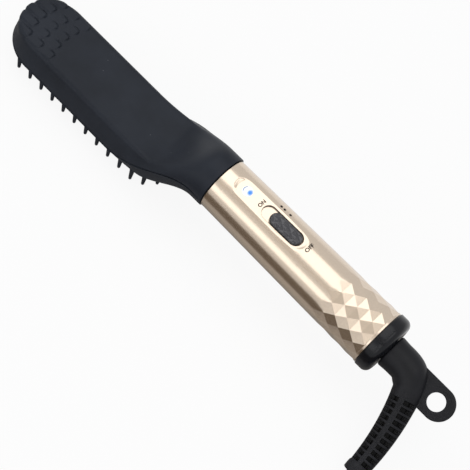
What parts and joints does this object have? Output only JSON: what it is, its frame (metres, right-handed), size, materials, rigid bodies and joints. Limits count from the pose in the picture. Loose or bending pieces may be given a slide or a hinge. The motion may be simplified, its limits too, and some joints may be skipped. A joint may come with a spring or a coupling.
{
  "type": "electric hot comb",
  "caption": "Electric hot comb with a flat toothed head, cool guard pins, a round handle with a slide switch and lamp, and a swivelling cord guard with a hang tab.",
  "frame": {"origin": "centre of the comb's bounding box, without its cord, at the level of the guard pins' tips", "axes": "+X along the handle towards the cord, +Z from the teeth towards the switch side, +Y across the comb"},
  "size_m": [0.4347, 0.1115, 0.0545],
  "materials": {
    "soft_black": "satin",
    "gold_lacquer": "satin metallic",
    "gloss_black": "gloss",
    "heater_steel": "satin",
    "screw_steel": "satin",
    "brass": "satin",
    "film": "gloss",
    "ceramic": "matte",
    "white_nylon": "satin",
    "board_green": "satin",
    "amber_plastic": "satin",
    "lens_white": "gloss",
    "rubber_black": "satin",
    "cord_black": "satin",
    "lead_red": "satin",
    "lead_yellow": "satin",
    "lead_brown": "satin"
  },
  "bodies": {
    "comb": {"head_cover": "soft_black", "head_base": "soft_black", "guard_pins": "soft_black", "heat_comb": "heater_steel", "lower_film": "film", "lower_electrode": "brass", "heating_stones": "ceramic", "upper_electrode": "brass", "upper_film": "film", "heater_clamp": "heater_steel", "clamp_screws": "screw_steel", "comb_screws": "screw_steel", "thermal_fuse": "white_nylon", "thermistor": "ceramic", "heater_leads": "lead_red", "sensor_leads": "lead_yellow", "head_screws": "screw_steel", "neck_sleeve": "soft_black", "handle_top": "gold_lacquer", "handle_bottom": "gold_lacquer", "handle_screws": "screw_steel", "switch_body": "soft_black", "switch_contacts": "brass", "circuit_board": "board_green", "board_screws": "screw_steel", "lamp": "lens_white", "lamp_lens": "lens_white", "capacitor": "amber_plastic", "triac": "soft_black", "controller_chip": "soft_black", "end_cap": "gloss_black", "contact_holder": "soft_black", "contact_springs": "brass", "mains_leads": "lead_brown"},
    "slider": {"slider_knob": "gloss_black", "knob_retainer": "white_nylon", "switch_carriage": "white_nylon"},
    "swivel": {"swivel_spindle": "soft_black", "slip_rings": "brass", "spindle_clip": "screw_steel", "cord_guard": "rubber_black", "cord_lead": "cord_black", "cord_coil": "cord_black", "cord_tail": "cord_black", "plug_body": "cord_black", "plug_pins": "screw_steel"}
  },
  "joints": [
    {"name": "power_slide", "type": "slide", "parent": "comb", "child": "slider", "axis": [-1, 0, 0], "range_m": [0, 0.0052]},
    {"name": "cord_swivel", "type": "hinge", "parent": "comb", "child": "swivel", "pos_m": [0.125, 0, 0.0375], "axis": [1, 0, 0], "continuous": true}
  ]
}
